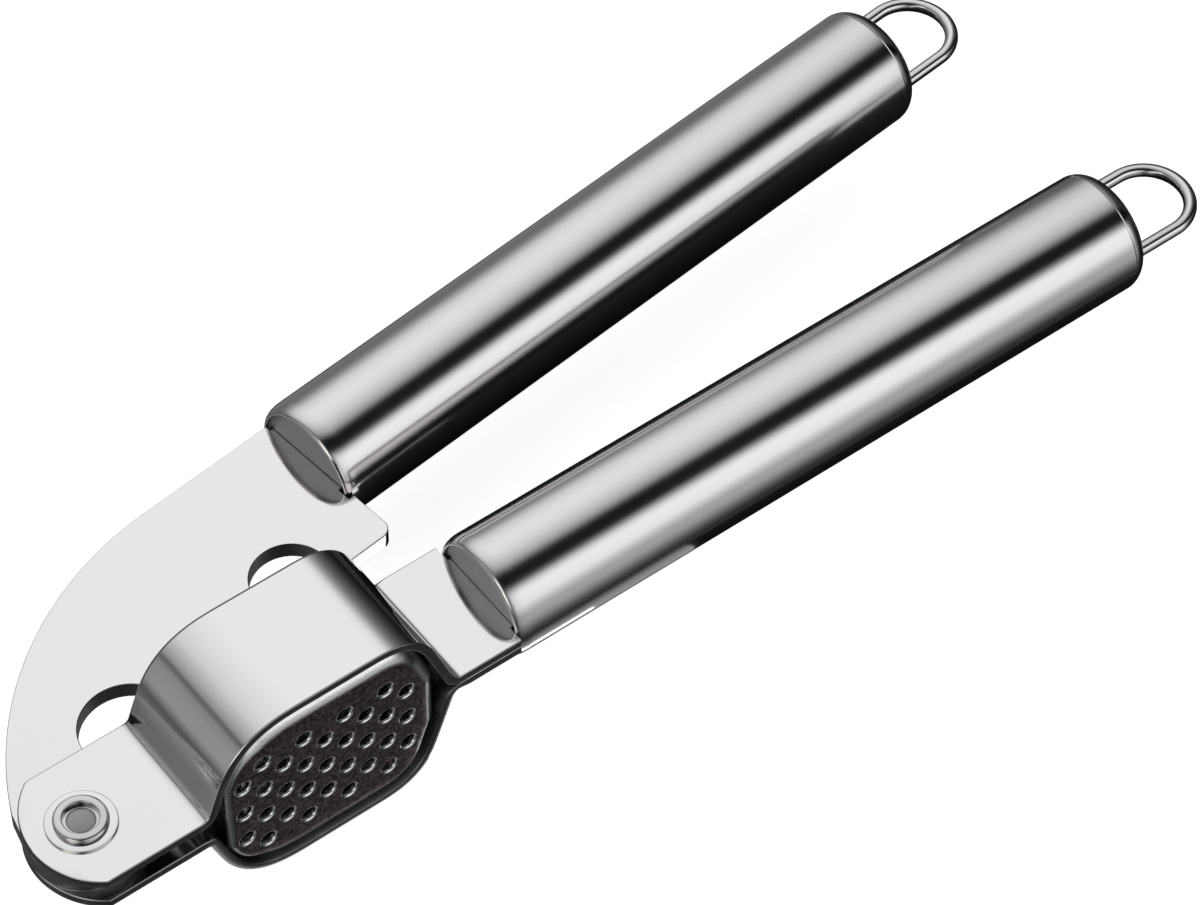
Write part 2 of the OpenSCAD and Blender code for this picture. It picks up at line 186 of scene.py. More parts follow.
def set_up(name, points, faces, paint):
    """A sheet of the studio: table, dome or card."""
    mesh = bpy.data.meshes.new(name)
    mesh.from_pydata(points, [], faces)
    mesh.materials.append(paint)
    sheet = bpy.data.objects.new(name, mesh)
    bpy.context.scene.collection.objects.link(sheet)
    return sheet


STUDIO_R = 4                                     # metres, as are all sizes of the studio
turn = np.linspace(0, 2 * np.pi, 96, endpoint=False)
rim = STUDIO_R * np.stack([np.cos(turn), np.sin(turn), 0 * turn], -1)
table = set_up("table", rim, [list(range(len(rim)))], pale("table_paint", (.82, .82, .82), .86))
points, faces = bowl(STUDIO_R, -.02, np.pi / 2)
dome = set_up("dome", points, faces.tolist(), pale("dome_paint", (0, 0, 0), 1.0))
dome.visible_diffuse = dome.visible_shadow = dome.visible_transmission = False
table.visible_glossy = dome.visible_glossy = False

# A black sheet under and between the handles, seen only in the steel, is a painted shadow: it
# stands in for the shaded table there and keeps the handles' undersides dark. It is cut back under
# the first part of the lower handle, which stays lighter there. A small white card lights the edge
# of the crescent's heel, and a grey strip lies under the tang and the mouth of the lower handle.
SHADOW_SHEET = ((.030, -.006), (.066, -.006), (.066, -.018), (.190, -.018), (.190, .070), (.030, .070))
HEEL_CARD = ((.0205, .0104), (.0332, .0104), (.0332, .0136), (.0205, .0136))
EDGE_STRIP = ((.017, -.0111), (.049, -.0111), (.049, -.0080), (.017, -.0080))
for name, height, corners, paint in (
        # The black sheet is painted shadow, seen only in the steel
        ("painted_shadow_sheet", .0012, SHADOW_SHEET, pale("painted_shadow_black", (.004, .004, .004), 0)),
        ("heel_card", .0100, HEEL_CARD, pale("card_white", (.8, .8, .8), 1.0)),
        ("edge_strip", -.0003, EDGE_STRIP, pale("card_grey", (.3, .3, .3), 1.5))):
    card = set_up(name, [(x, y, height) for x, y in corners], [list(range(len(corners)))], paint)
    card.visible_camera = card.visible_diffuse = False
    card.visible_shadow = card.visible_transmission = False

# ---------------------------------------------------------------------------------------------
# Side plates. Two strips of 1.4 mm stainless sheet, blanked with a round ear at one end and a
# narrow tang at the other, polished, and bent outwards between the ears and the handle so that
# they stand apart as the two walls of the basket. The tangs lie together inside the handle.
# ---------------------------------------------------------------------------------------------
PIVOT = np.array([-33.05, 0.0, 16.5])            # mm, as are all sizes of the press


def steel(name, base, shade, rough, grain, tilt=0.0, grain_depth=0.0,
        cut_and_painted_light_colour=None, cut_rough=0.3, mottled=False):
    """Polished or brushed stainless. Fine grain lines run along the piece's own length, faint
    wide clouds (or the grain itself, if mottled) change its tint, and each point's edge mark brings
    a second colour and roughness: duller sheared edges, whose dark colour is partly painted shade,
    painted shade inside the basket, and on the sieve a painted highlight."""
    metal = bpy.data.materials.new(name)
    metal.use_nodes = True
    tree = metal.node_tree
    skin = tree.nodes["Principled BSDF"]
    w = Wire(tree)
    place = w.make("ShaderNodeTexCoord", out="Object")
    turned = w.make("ShaderNodeMapping", {}, {"Vector": place, "Rotation": (0, 0, -tilt)})
    lines = w.make("ShaderNodeMapping", {}, {"Vector": turned, "Scale": grain})
    streak = w.make("ShaderNodeTexNoise", {},
        {"Vector": lines, "Scale": 1.0, "Detail": 3.0, "Roughness": 0.6})
    cloud = w.make("ShaderNodeTexNoise", {}, {"Vector": turned, "Scale": 55.0, "Detail": 2.0})
    blot = w.make("ShaderNodeTexNoise", {}, {"Vector": turned, "Scale": 320.0, "Detail": 4.0})
    tint = w.make("ShaderNodeMapRange", {}, {0: streak if mottled else cloud, 1: 0.35, 2: 0.65})
    colour = w.make("ShaderNodeMix", {"data_type": "RGBA"},
        {"Factor": tint, "A": (*base, 1), "B": (*shade, 1)}, out="Result")
    rub = rough * (0.75 + 0.3 * streak + 0.2 * blot)
    # The second colour where the edge mark lies: sheared edges, partly painted shade, painted shade
    # inside the basket, and on the sieve a painted highlight
    if cut_and_painted_light_colour:
        cut = w.make("ShaderNodeAttribute", {"attribute_name": "cut"}, out="Fac")
        cut_and_painted_light_mix = cut * (0.7 + 0.6 * blot)
        colour = colour.mix(cut_and_painted_light_mix, (*cut_and_painted_light_colour, 1))
        rub = rub + cut * (cut_rough - rough)
    tree.links.new(colour.out, skin.inputs["Base Color"])
    tree.links.new(rub.out, skin.inputs["Roughness"])
    skin.inputs["Metallic"].default_value = 1.0
    if grain_depth:
        bump = w.make("ShaderNodeBump", {},
            {"Strength": 0.35, "Distance": grain_depth, "Height": streak}, out="Normal")
        tree.links.new(bump.out, skin.inputs["Normal"])
    return metal


def put(name, points, faces, cut, finish, body, node):
    """Makes one piece from points in mm: joins points that fall together, turns its faces
    outwards, shades it smooth up to 40 degrees, parents it to its CAD body and hides the CAD node
    it replaces. The edge mark is how far each point takes the material's second colour, which marks
    sheared edges and also painted shade and painted highlights, one number for all of them or one
    for each."""
    mesh = bpy.data.meshes.new(name)
    mesh.from_pydata(np.asarray(points) * 0.001, [], [list(map(int, f)) for f in faces])
    mark = np.broadcast_to(cut, len(points)).astype(np.float32)
    mesh.attributes.new("cut", "FLOAT", "POINT").data.foreach_set("value", mark)
    work = bmesh.new()
    work.from_mesh(mesh)
    bmesh.ops.remove_doubles(work, verts=work.verts, dist=3e-7)
    bmesh.ops.recalc_face_normals(work, faces=work.faces)
    work.to_mesh(mesh)
    work.free()
    mesh.shade_smooth()
    mesh.set_sharp_from_angle(angle=np.radians(40))
    mesh.materials.append(finish)
    piece = bpy.data.objects.new(name, mesh)
    bpy.context.scene.collection.objects.link(piece)
    piece.modifiers.new("even_normals", "WEIGHTED_NORMAL").keep_sharp = True
    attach(piece, body)
    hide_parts(node)


def loft(rings):
    """Skin over an array of closed rings (ring, point, xyz): quads join point j and j+1 of ring i
    to the same points of ring i+1. Returns the points and the quads."""
    count, size = rings.shape[:2]
    k = np.arange(count * size).reshape(count, size)
    n = np.roll(k, -1, 1)
    return rings.reshape(-1, 3), np.stack([k[:-1], n[:-1], n[1:], k[1:]], -1).reshape(-1, 4).tolist()


# Folds of the strip: straight run, turn in degrees, radius at mid sheet, how far the bend runs
# out softly before and after it
SHEET, STRIP, EAR_R, EDGE_R = 1.4, 19.6, 11.8, 0.2
EAR_END, EAR_HIGH, ROOF, TANG_HIGH = -7.6, 2.2, 15.8, 0.7   # start of the strip; heights at mid sheet
TANG_START, TANG_END, TANG_IN = 63.65, 87.65, 2.6
SLANT = 70
FOLDS = [[19.9, SLANT, 2.0, .4, .4], [7.26, -SLANT, 8.3, 4.5, 3.6], [17.68, -SLANT, 6.8, 4.0, 1.0],
    [9.91, SLANT, 2.0, .4, .4], [33.85, 0, 0, 0, 0]]


def fold_line(folds):
    """Middle line of the bent strip as tables of flat length, x and height above the middle plane.
    Its direction changes by a smooth step over each bend; x and height add up its cosine and sine."""
    s = np.linspace(0, 130, 26001)
    a, at = np.zeros_like(s), 0.0
    for run, deg, radius, before, after in folds:
        at += run
        if deg:
            long = abs(np.radians(deg)) * radius
            t = np.clip((s - at + before) / (long + before + after), 0, 1)
            a += np.radians(deg) * t * t * (3 - 2 * t)
            at += long
    step = s[1]
    x = EAR_END + np.concatenate([[0], np.cumsum((np.cos(a[1:]) + np.cos(a[:-1])) / 2)]) * step
    z = EAR_HIGH + np.concatenate([[0], np.cumsum((np.sin(a[1:]) + np.sin(a[:-1])) / 2)]) * step
    return s, x, z, a, at


for _ in range(3):                               # lengthen the runs until the heights are right
    s, x, z, a, total = fold_line(FOLDS)
    too_low = ROOF - z.max()
    FOLDS[1][0] += too_low / np.sin(np.radians(SLANT))
    FOLDS[3][0] += (too_low + np.interp(total, s, z) - TANG_HIGH) / np.sin(np.radians(SLANT))
    FOLDS[2][0] += TANG_END - np.interp(total, s, x)
LINE = fold_line(FOLDS)


def on_strip(flat, y, t):
    """Point of the bent strip from its place on the flat sheet: t is the height off mid sheet."""
    s, x, z, a, _ = LINE
    b = np.interp(flat, s, a)
    along, high = np.interp(flat, s, x), np.interp(flat, s, z)
    return np.stack([along - t * np.sin(b), y + 0 * flat, high + t * np.cos(b)], -1)


def side_plate(low_round, low_bare):
    """The strip as rings across it, carried along its length. The half width follows the round
    ear, the straight edges and the tang. Each ring goes over the face, round the sheared edge by
    quarter circles inwards along the outline's normal, back under, and round the other edge. The
    inner face of the basket's walls takes the dark edge colour as painted shade, and so do the
    sheared edges, where it is partly their duller finish and partly painted shade, but not the
    outer rounding of the basket's lower edge where low_bare is true."""
    s, x, z, a, total = LINE
    shoulder = np.interp(TANG_START, x[s < total], s[s < total])
    ear = EAR_R * (1 - np.cos(np.linspace(0, np.pi * .69 / 2, 40)))
    flat = np.concatenate([ear, np.linspace(ear[-1] + .4, 19.2, 12), np.linspace(19.5, 84, 260),
        shoulder + np.array([-.06, -.02, .02, .06]), np.linspace(84, total, 8)[1:]])
    flat = np.unique(np.round(flat, 4))
    half = np.sqrt(np.maximum(0, EAR_R ** 2 - (np.minimum(flat, EAR_R) - EAR_R) ** 2))
    half = np.minimum(STRIP / 2, half) - TANG_IN * np.clip((flat - shoulder + .02) / .04, 0, 1)
    ds, dh = np.gradient(flat), np.gradient(half)
    dh[np.abs(flat - shoulder) < .3] = 0
    size = np.hypot(ds, dh)
    nx, ny = -dh / size, ds / size
    nx[0], ny[0] = -1, 0
    walls = np.clip((flat - 20) / 2, 0, 1) * np.clip((78.5 - flat) / 2, 0, 1)
    inner_round = EDGE_R + .1 * walls
    radii = {(1, 0): EDGE_R + .42 * walls, (1, 1): inner_round,
        (-1, 0): EDGE_R + (low_round - EDGE_R) * walls, (-1, 1): inner_round}
    quarter = np.linspace(0, np.pi / 2, 6)
    off = np.concatenate([1 - np.sin(quarter), 1 - np.sin(quarter[::-1])])
    drop = np.concatenate([np.cos(quarter) - 1, 1 - np.cos(quarter[::-1])])
    up = np.repeat([SHEET / 2, -SHEET / 2], 6)
    between = np.linspace(1, -1, 9)[1:-1]
    rows, cuts = [], []
    for side in (1, -1):
        for k in (range(12) if side == 1 else range(11, -1, -1)):
            r = radii[side, k // 6]
            rows.append((flat - off[k] * r * nx, side * (half - off[k] * r * ny), up[k] + drop[k] * r))
            # Edge marks: the sheared edges get the dark colour, partly painted shade, and along the walls
            # the inner face gets it too, as painted shade inside the basket
            mark = float(off[k] < (.9 if side == 1 else .3)) + 0 * flat
            if k > 5:
                mark = np.maximum(mark, walls)
            elif side == -1 and low_bare:
                mark = mark * (1 - walls)
            cuts.append(mark)
        face = -SHEET / 2 if side == 1 else SHEET / 2
        for v in side * between:
            rows.append((flat - EDGE_R * nx, v * (half - EDGE_R * ny), face))
            cuts.append(walls if side == 1 else 0 * flat)
    rings = np.stack([on_strip(f, y, h) for f, y, h in rows], 1)
    points, faces = loft(rings)
    end_ring = np.arange(len(points) - len(rows), len(points))
    return points, faces + [end_ring.tolist()], np.stack(cuts, 1).ravel()


# The dark colour of the sheared edges is partly a duller finish and partly painted shade; on the inner
# face of the walls it is painted shade
plate_steel = steel("polished_plate", (.85, .822, .832), (.828, .828, .822), .085, (60, 900, 900),
    cut_and_painted_light_colour=(.17, .165, .165), cut_rough=.32)
for which, face, low_round in (("front", 1, .25), ("rear", -1, .6)):
    points, faces, cut = side_plate(low_round, which == "rear")
    put(which + "_side_plate_shell", points * (1, 1, face) + PIVOT, faces, cut, plate_steel,
        "frame", which + "_side_plate")

# ---------------------------------------------------------------------------------------------
# Sieve. A tray pressed from 0.9 mm stainless sheet, coloured near black as painted shade, with a
# rounded shoulder and a turned-up wall that wedges between the two plates. 31 holes are punched
# from outside, so each has a drawn-in lip. The shoulder and the lips are coloured bright as a
# painted highlight.
# ---------------------------------------------------------------------------------------------


def inwards(loop, distance):
    """The loop moved to its left by a distance, with mitred corners."""
    ahead = np.roll(loop, -1, 0) - loop
    ahead /= np.linalg.norm(ahead, axis=1)[:, None]
    left = np.stack([-ahead[:, 1], ahead[:, 0]], -1)
    mean = left + np.roll(left, 1, 0)
    mean /= (mean * left).sum(1)[:, None]
    return loop + mean * distance


def cut_plate(loops, profiles):
    """A plate with holes. Loops run with the metal on their left. Each loop's edge is its profile,
    a list of (distance into the metal, height, edge mark, which marks sheared edges and painted
    light), each a number or one value for every point of the loop; the first and the last rings are
    filled as the two faces."""
    points, cut, faces, tops, ends = [], [], [], [], []
    for loop, profile in zip(loops, profiles):
        start = sum(len(p) for p in points)
        rings = np.stack([np.column_stack([inwards(loop, np.reshape(d, (-1, 1))),
            np.broadcast_to(h, len(loop))]) for d, h, _ in profile])
        p, f = loft(rings)
        points.append(p)
        faces += (np.array(f) + start).tolist()
        cut += np.concatenate([np.broadcast_to(c, len(loop)) for _, _, c in profile]).tolist()
        tops.append(np.arange(start, start + len(loop)))
        ends.append(np.arange(start, start + len(loop)) + (len(profile) - 1) * len(loop))
    points = np.concatenate(points)
    for rims in (tops, ends):
        index = np.concatenate(rims)
        fill = tessellate_polygon([[(*points[i][:2], 0) for i in rim] for rim in rims])
        faces += index[np.array(fill)].tolist()
    return points, faces, np.array(cut)


def edge(low, high, r, steps=4):
    """Profile of a plate's edge, from its upper face to its lower face, with both corners round."""
    t = np.linspace(0, np.pi / 2, steps + 1)
    top = [(r * (1 - np.sin(q)), high - r * (1 - np.cos(q)), float(q > .5)) for q in t]
    return top + [(d, low + high - h, c) for d, h, c in reversed(top)]


def ring(x, y, r, sides=32, way=-1):
    """Round hole (way -1) or disc (way 1)."""
    t = way * np.linspace(0, 2 * np.pi, sides, endpoint=False)
    return np.stack([x + r * np.cos(t), y + r * np.sin(t)], -1)


def basket(off, x0, x1, count=220):
    """Inside outline of the basket, from the strip's own middle line moved in by half the sheet
    and off, between two straight ends, as (x, z) from the pivot, with the inside on its left."""
    s, x, z, a, total = LINE
    d = SHEET / 2 + off
    px, pz = x + d * np.sin(a), z - d * np.cos(a)
    between = (s > 20) & (s < 77)                # the flat lengths at which the walls start and end
    keep = (px > x0) & (px < x1) & between
    px, pz = px[keep], pz[keep]
    run = np.concatenate([[0], np.cumsum(np.hypot(np.diff(px), np.diff(pz)))])
    even = np.linspace(0, run[-1], count)
    top = np.stack([np.interp(even, run, px), np.interp(even, run, pz)], -1)
    return np.concatenate([top * (1, -1), top[::-1]])


def flat_on_y(points):
    """From (x, z, height) to (x, y, z): the plate lies across the basket."""
    return points[:, [0, 2, 1]]


# The tray's dark, mottled colour is painted shade, and its bright colour on the shoulder, the top of the
# wall and the lips is a painted highlight
sieve_steel = steel("sieve_steel", (.42, .33, .37), (.05, .04, .045), .26, (2200, 2200, 2200),
    grain_depth=9e-5, cut_and_painted_light_colour=(.88, .86, .87), cut_rough=.17, mottled=True)
SIEVE_T, UNDER, RIM = 0.9, -9.8, -5.8            # sheet, underside, and top of the wall
SIEVE_NEAR, SIEVE_FAR, SIEVE_GAP = 16.1, 50.1, .03
HOLE_R, HOLE_PITCH, ROW_PITCH, ROWS, ROW_HOLES = 1.1, 6.5, 2.87, 7, 5
HOLES_X, HOLES_Z, LIP = 31.85, -0.3, .45         # middle of the pattern, and the lips' rounding
holes = []
for row in range(ROWS):
    places = np.arange(ROW_HOLES - (row + 1) % 2)          # every other row has one hole fewer
    row_z = HOLES_Z + (row - (ROWS - 1) / 2) * ROW_PITCH
    holes += [ring(x, row_z, HOLE_R) for x in HOLES_X + (places - places.mean()) * HOLE_PITCH]
quarter = np.linspace(0, np.pi / 2, 9)
dish = basket(SIEVE_GAP, SIEVE_NEAR, SIEVE_FAR)
away = np.clip((dish[:, 0] - SIEVE_NEAR - .5) / 5, 0, 1)
shoulder = 1.2 + 1.7 * away * away * (3 - 2 * away)        # tighter at the end near the pivot
inside = 0.4 * shoulder
# The third number marks the bright colour, a painted highlight: most of the shoulder and the top of the
# wall
tray = [(shoulder * (1 - np.sin(q)), UNDER + shoulder * (1 - np.cos(q)), float(q > .25)) for q in quarter]
tray += [(0, RIM - .2, 0), (.06, RIM - .06, 1), (.2, RIM, 1)]
tray += [(SIEVE_T - d, h, c) for d, h, c in reversed(tray[-3:])]
tray += [(SIEVE_T + inside * (1 - np.cos(q)), UNDER + SIEVE_T + inside * (1 - np.sin(q)), 0)
    for q in quarter]
# Each lip's rounding takes the bright colour as well: a painted highlight round each hole
lip = [(LIP * (1 - np.sin(q)), UNDER + LIP * (1 - np.cos(q)), float(q > .2)) for q in quarter]
lip += [(0, UNDER + SIEVE_T - .12, 1), (.12, UNDER + SIEVE_T, 0)]
points, faces, cut = cut_plate([dish] + holes, [tray] + [lip] * len(holes))
put("sieve_tray", flat_on_y(points) + PIVOT, faces, cut, sieve_steel,
    "frame", "sieve_plate")

# ---------------------------------------------------------------------------------------------
# Crescent plate. The upper handle's working arm: 2.8 mm stainless plate, laser cut to a curved
# back, two round-topped notches beside the lug that drives the press head, and a heel that
# stops it on the side plates. Both faces are mirror polished; the cut edges are darker, partly a
# duller finish and partly painted shade.
# ---------------------------------------------------------------------------------------------
REST = np.radians(6.4)


def on_lever(points):
    """Turns points of the lever, drawn with the handles side by side, to the way it rests."""
    c, s = np.cos(REST), np.sin(REST)
    return np.asarray(points) @ np.array([[c, s, 0], [-s, c, 0], [0, 0, 1]]) + PIVOT


def arc(x, y, r, a0, a1, n):
    """Points of an arc between two angles in degrees."""
    t = np.radians(np.linspace(a0, a1, n))
    return np.stack([x + r * np.cos(t), y + r * np.sin(t)], -1)


ARM_T, PIN_X, PIN_Y, LUG_R, HUB_R = 2.8, 33.0, 1.0, 4.7, 7.6
NEAR_NOTCH, FAR_NOTCH = (14.9, 8.3, 6.9), (46.6, 12.3, 5.7)        # centre and radius of their tops
HEEL_X, HEEL_LOW, HEEL_TOP, HEEL_R = 62.3, 8.9, 17.0, 1.8
ARM_STEP, ARM_TOP, BACK_X, BACK_R = 61.35, 34.4, 39.5, 51.2
ARM_TANG_LOW, ARM_TANG_TOP, ARM_TANG_END = 19.1, 33.5, 85.4
heel = arc(HEEL_X - HEEL_R, HEEL_LOW + HEEL_R, HEEL_R, -90, 0, 10)
outline = np.concatenate([
    [[52.3, HEEL_LOW]], heel, [[HEEL_X, HEEL_TOP], [ARM_STEP, HEEL_TOP], [ARM_STEP, ARM_TANG_LOW],
    [ARM_TANG_END, ARM_TANG_LOW], [ARM_TANG_END, ARM_TANG_TOP], [ARM_STEP, ARM_TANG_TOP],
    [ARM_STEP, ARM_TOP]], arc(BACK_X, ARM_TOP - BACK_R, BACK_R, 90, 151.0, 90),
    arc(0, 0, HUB_R, 161.1, 388.2, 60), [[8.0, 4.3]], arc(*NEAR_NOTCH, 180, 0, 36), [[21.8, 8.0]],
    arc(PIN_X, PIN_Y, LUG_R, 180, 360, 32), [[40.9, 8.0]], arc(*FAR_NOTCH, 180, 0, 32)])
arm_edge = edge(-ARM_T / 2, ARM_T / 2, .16)
# The cut edges take the dark colour, partly a duller finish and partly painted shade, as in the dark
# walls of the notches; the heel is left out
dull_and_painted_shade = np.ones(len(outline))
dull_and_painted_shade[:len(heel) + 2] = 0                         # the heel is ground and polished
points, faces, cut = cut_plate([outline, ring(0, 0, 3.05, 48), ring(PIN_X, PIN_Y, 2.05, 32)],
    [[(d, h, c * dull_and_painted_shade) for d, h, c in arm_edge], arm_edge, arm_edge])
arm_steel = steel("polished_arm", (.85, .822, .832), (.828, .828, .822), .07, (60, 900, 900), REST,
    cut_and_painted_light_colour=(.26, .25, .25), cut_rough=.34)
put("crescent_arm", on_lever(points), faces, cut, arm_steel, "lever", "crescent_plate")

# ---------------------------------------------------------------------------------------------
# Handle tubes. 18.5 mm stainless tube with a 1 mm wall, satin brushed along its length. The
# mouth is rolled over slightly where the plate goes in.
# ---------------------------------------------------------------------------------------------


def lathe(profile, sides=128):
    """Turns a closed profile of (radius, distance) about the X axis: y and z are the radius times
    the cosine and sine of the turn."""
    r, h = np.asarray(profile, float).T
    t = np.linspace(0, 2 * np.pi, sides, endpoint=False)
    along = np.broadcast_to(h, (sides, len(h)))
    rings = np.stack([along, np.outer(np.cos(t), r), np.outer(np.sin(t), r)], -1)
    rings = np.concatenate([rings, rings[:1]])
    return loft(rings)


def bend(r0, h0, r, a0, a1, n=6):
    """Arc of a turned profile as (radius, distance) pairs."""
    t = np.radians(np.linspace(a0, a1, n))
    return [(r0 + r * np.cos(q), h0 + r * np.sin(q)) for q in t]


MOUTHS = {"lower": (63.7, 0.0), "upper": (61.4, 26.3)}   # tube mouth and axis height from the pivot


def in_place(points, which):
    """Moves a handle piece, drawn from its mouth along X, onto the lower or the upper handle."""
    mouth, high = MOUTHS[which]
    points = points + np.array([mouth, high, 0])
    return on_lever(points) if which == "upper" else points + PIVOT


TUBE_R, BORE_R, TUBE_END = 9.25, 8.25, 109.7
ROLL_IN, ROLL_LONG = .82, 2.4                    # the rolled mouth: a quarter ellipse
roll = np.linspace(0, np.pi / 2, 14)[1:]
tube_line = [(BORE_R, .25), (8.27, .09), (8.33, .02), (8.42, 0)]
tube_line += [(TUBE_R - ROLL_IN * (1 - np.sin(q)), ROLL_LONG * (1 - np.cos(q))) for q in roll]
tube_line += [(TUBE_R, 40.0), (TUBE_R, 80.0), (TUBE_R, TUBE_END - .08), (TUBE_R - .08, TUBE_END),
    (BORE_R, TUBE_END), (BORE_R, 60.0)]
body_of = {"lower": "frame", "upper": "lever"}
tube_steel = {}
for which in ("lower", "upper"):
    tube_steel[which] = steel("satin_tube_" + which, (.80, .775, .785), (.785, .765, .77), .16,
        (14, 1400, 1400), REST if which == "upper" else 0, grain_depth=1.2e-5)
    points, faces = lathe(tube_line)
    put(which + "_tube", in_place(points, which), faces, 0, tube_steel[which],
        body_of[which], which + "_handle_tube")

# ---------------------------------------------------------------------------------------------
# Front caps. A slotted disc of 1.5 mm sheet pressed just inside each mouth, left dull grey, with
# the plate standing through its slot.
# ---------------------------------------------------------------------------------------------


def slot_loop(wide, thick):
    """Rectangular slot, run so that the metal lies on its left."""
    return np.array([[-wide, -thick], [-wide, thick], [wide, thick], [wide, -thick]]) / 2


dull_steel = steel("cap_steel", (.37, .365, .365), (.33, .325, .325), .42, (420, 420, 420),
    grain_depth=1.5e-5, cut_and_painted_light_colour=(.6, .58, .58))
CAP_SET, CAP_T = .4, 1.5                         # how far inside the mouth, and thickness
SLOT_WIDE, SLOT_THICK = 14.9, 3.25
for which in ("lower", "upper"):
    points, faces, cut = cut_plate([ring(0, 0, BORE_R - .01, 96, 1), slot_loop(SLOT_WIDE, SLOT_THICK)],
        [edge(CAP_SET, CAP_SET + CAP_T, .12)] * 2)
    put(which + "_mouth_cap", in_place(points[:, [2, 0, 1]], which), faces, cut, dull_steel,
        body_of[which], which + "_front_cap")

# ---------------------------------------------------------------------------------------------
# End caps. Turned steel plugs with a rounded edge, pressed and ground flush with the tube.
# ---------------------------------------------------------------------------------------------
PLUG_R, SPIGOT = 2.7, 3.0                        # rounded edge, and length inside the tube
plug_line = [(0, TUBE_END - SPIGOT), (BORE_R - .25, TUBE_END - SPIGOT), (BORE_R, TUBE_END - SPIGOT + .25),
    (BORE_R, TUBE_END + .02), (TUBE_R - .08, TUBE_END + .02), (TUBE_R, TUBE_END + .1)]
plug_line += bend(TUBE_R - PLUG_R, TUBE_END, PLUG_R, 3, 90, 14)
plug_line += [(4.0, TUBE_END + PLUG_R), (0, TUBE_END + PLUG_R)]
for which in ("lower", "upper"):
    points, faces = lathe(plug_line)
    put(which + "_end_plug", in_place(points, which), faces, 0, tube_steel[which],
        body_of[which], which + "_end_cap")

# ---------------------------------------------------------------------------------------------
# Hanging loops. 2 mm stainless wire bent to a round-topped loop, its two legs set into the plug.
# ---------------------------------------------------------------------------------------------


def wire_loop():
    """A circle of 1 mm radius carried along two straight legs and the half ring between them;
    the path's normal lies in the loop's plane and its other normal is Z."""
    start, bend_x, half, sides = 107.5, 119.7, 6.3, 24
    leg = np.linspace(start, bend_x, 8)
    t = np.linspace(-np.pi / 2, np.pi / 2, 49)
    px = np.concatenate([leg[:-1], bend_x + half * np.cos(t), leg[::-1][1:]])
    py = np.concatenate([0 * leg[:-1] - half, half * np.sin(t), 0 * leg[1:] + half])
    dx, dy = np.gradient(px), np.gradient(py)
    size = np.hypot(dx, dy)
    q = np.linspace(0, 2 * np.pi, sides, endpoint=False)
    rings = np.stack([px[:, None] + np.outer(dy / size, np.cos(q)),
        py[:, None] - np.outer(dx / size, np.cos(q)), np.broadcast_to(np.sin(q), (len(px), sides))], -1)
    points, faces = loft(rings)
    return points, faces + [list(range(sides)), list(range(len(points) - sides, len(points)))]


bright_wire = steel("loop_wire", (.80, .79, .79), (.76, .75, .75), .12, (700, 700, 700),
    grain_depth=0.6e-5)
for which in ("lower", "upper"):
    points, faces = wire_loop()
    put(which + "_wire_loop", in_place(points, which), faces, 0, bright_wire,
        body_of[which], which + "_hanging_loop")

# ---------------------------------------------------------------------------------------------
# Pivot rivet. A hollow barrel with a rolled head on the front, a solid core headed over on the
# back and seen at the bottom of the barrel's recess, and a thin polished washer under each head.
# ---------------------------------------------------------------------------------------------


def along_z(points):
    """From a piece turned about X to one turned about Z."""
    return points[:, [1, 2, 0]]


rivet_steel = steel("rivet_steel", (.72, .70, .71), (.60, .58, .60), .16, (900, 900, 900),
    grain_depth=2.5e-5)
peened_steel = steel("peened_core", (.40, .385, .39), (.25, .235, .24), .34, (700, 700, 700),
    grain_depth=9e-5)
BARREL_R, CORE_R, HEAD_R, RECESS_R, WASHER_R = 3.0, 2.0, 3.75, 2.45, 4.9
EARS, SEAT, HEAD_TOP = 2.9, 3.25, 4.15           # outer faces of the ears and washers, top of a head
barrel_line = [(CORE_R, -SEAT), (CORE_R, 3.4), (RECESS_R, 3.4), (RECESS_R, HEAD_TOP - .2)]
barrel_line += bend(RECESS_R + .2, HEAD_TOP - .2, .2, 180, 90, 5)[1:]
barrel_line += bend(HEAD_R - .5, HEAD_TOP - .5, .5, 90, 0, 8)
barrel_line += [(HEAD_R, SEAT + .02), (HEAD_R - .02, SEAT), (BARREL_R, SEAT), (BARREL_R, -SEAT)]
core_line = [(0, 3.46), (.7, 3.45), (1.5, 3.42)] + bend(CORE_R - .15, SEAT, .15, 80, 0, 5)
core_line += [(CORE_R, -SEAT), (HEAD_R - .02, -SEAT), (HEAD_R, -SEAT - .02)]
core_line += bend(HEAD_R - .6, .6 - HEAD_TOP, .6, 0, -90, 8) + [(1.5, -HEAD_TOP), (0, -HEAD_TOP)]
washer_round = (SEAT - EARS) / 2
washer_line = [(BARREL_R, EARS), (BARREL_R, SEAT)]
washer_line += bend(WASHER_R - washer_round, EARS + washer_round, washer_round, 90, -90, 9)
for name, line, finish, node, flip in (
        ("rivet_barrel_head", barrel_line, rivet_steel, "rivet_barrel", 1),
        ("rivet_core_pin", core_line, peened_steel, "rivet_core", 1),
        ("front_washer", washer_line, plate_steel, "front_rivet_washer", 1),
        ("rear_washer", washer_line, plate_steel, "rear_rivet_washer", -1)):
    points, faces = lathe(line, 96)
    put(name, along_z(points) * (1, 1, flip) + PIVOT, faces, 0, finish, "frame", node)

# ---------------------------------------------------------------------------------------------
# Press head. A 2.4 mm plate cut to the basket's outline, with a small U bracket welded on top
# that hangs from the lug on a pin, so that the plate stays square to the sieve.
# ---------------------------------------------------------------------------------------------
HEAD_TURN = np.radians(-2.455)
PIN = np.array([PIN_X, PIN_Y, 0.0])


def on_head(points):
    """Places points of the press head, drawn from its pin, on the lever."""
    c, s = np.cos(HEAD_TURN), np.sin(HEAD_TURN)
    return on_lever(np.asarray(points) @ np.array([[c, s, 0], [-s, c, 0], [0, 0, 1]]) + PIN)


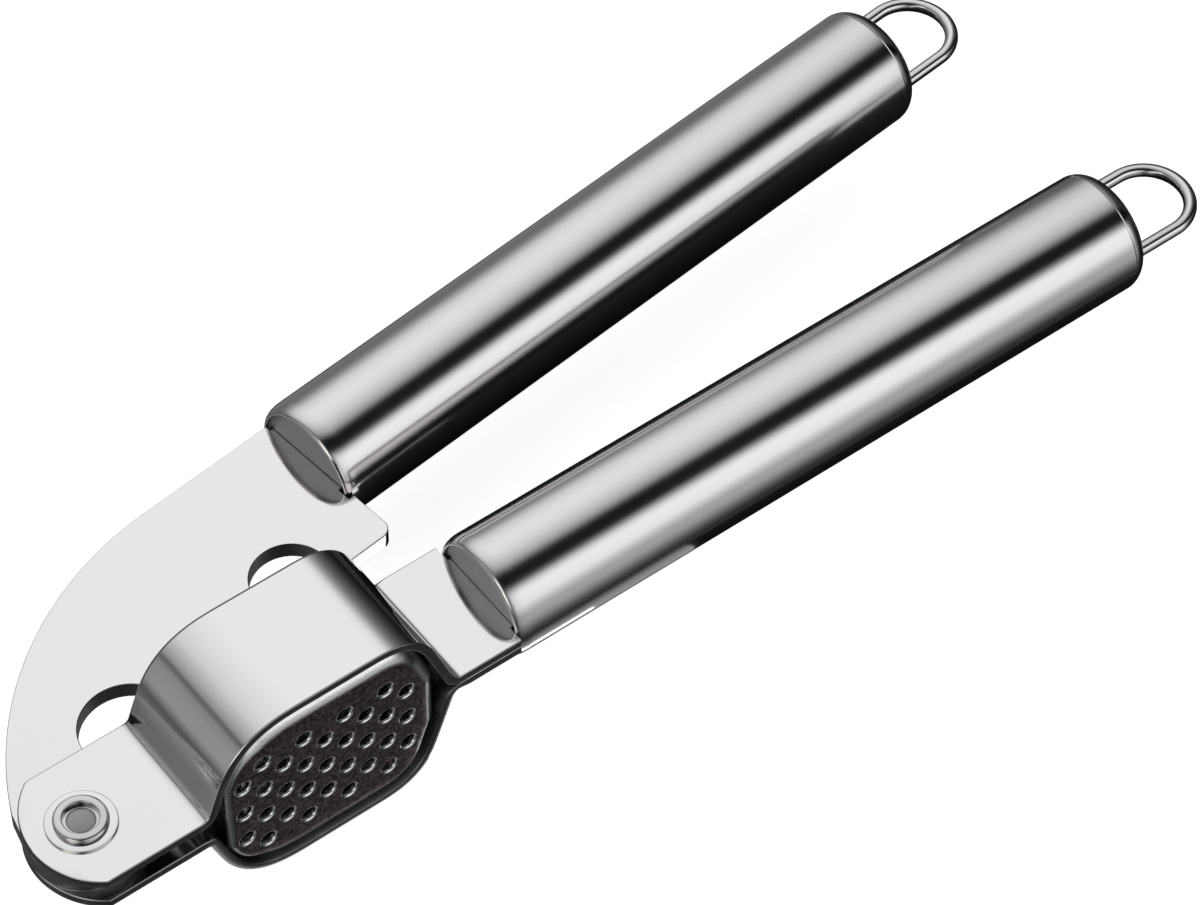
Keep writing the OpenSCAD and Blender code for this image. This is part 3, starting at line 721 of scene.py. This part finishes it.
def together(parts):
    """Several (points, faces, cut) as one piece."""
    starts = np.cumsum([0] + [len(p) for p, _, _ in parts])
    faces = [[i + start for i in face] for (_, f, _), start in zip(parts, starts) for face in f]
    return np.concatenate([p for p, _, _ in parts]), faces, np.concatenate([c for _, _, c in parts])


head_steel = steel("head_steel", (.50, .485, .49), (.44, .43, .435), .20, (300, 300, 300),
    grain_depth=2e-5, cut_and_painted_light_colour=(.35, .34, .34))
PLATE_LOW, PLATE_T = -10.256, 2.4                # underside, from the pin, and thickness
PLATE_GAP, SWING_GAP = .6, 2.2                   # round the plate, and extra at the pivot end
inset = SIEVE_GAP + SIEVE_T + PLATE_GAP
foot = basket(inset, SIEVE_NEAR + inset + SWING_GAP, SIEVE_FAR - inset) - (PIN_X, 0)
seat = PLATE_LOW + PLATE_T
points, faces, cut = cut_plate([foot], [edge(PLATE_LOW, seat, .3)])
put("press_foot", on_head(flat_on_y(points)), faces, cut, head_steel,
    "press_head", "press_plate")

HALF_LONG, HALF_WIDE, STIRRUP_T, CHEEK_R, PIN_R = 6, 2.5, 1.0, 4, 2.0
cheek = np.concatenate([[[-HALF_LONG, seat], [HALF_LONG, seat]], arc(0, 0, CHEEK_R, 8, 172, 24)])
cheeks = [cut_plate([cheek, ring(0, 0, PIN_R - .01, 32)], [edge(low, low + STIRRUP_T, .15)] * 2)
    for low in (HALF_WIDE - STIRRUP_T, -HALF_WIDE)]
sole = np.array([[-1, -1], [1, -1], [1, 1], [-1, 1]]) * (HALF_LONG, HALF_WIDE)
points, faces, cut = cut_plate([sole], [edge(seat, seat + STIRRUP_T, .12)])
points, faces, cut = together(cheeks + [(flat_on_y(points), faces, cut)])
put("head_stirrup", on_head(points), faces, cut, head_steel, "press_head", "head_bracket")

pin_line = [(0, -HALF_WIDE)] + bend(PIN_R - .25, .25 - HALF_WIDE, .25, -90, 0, 4)
pin_line += bend(PIN_R - .25, HALF_WIDE - .25, .25, 0, 90, 4) + [(0, HALF_WIDE)]
points, faces = lathe(pin_line, 48)
put("head_hinge_pin", on_head(along_z(points)), faces, 0, rivet_steel,
    "press_head", "head_pin")
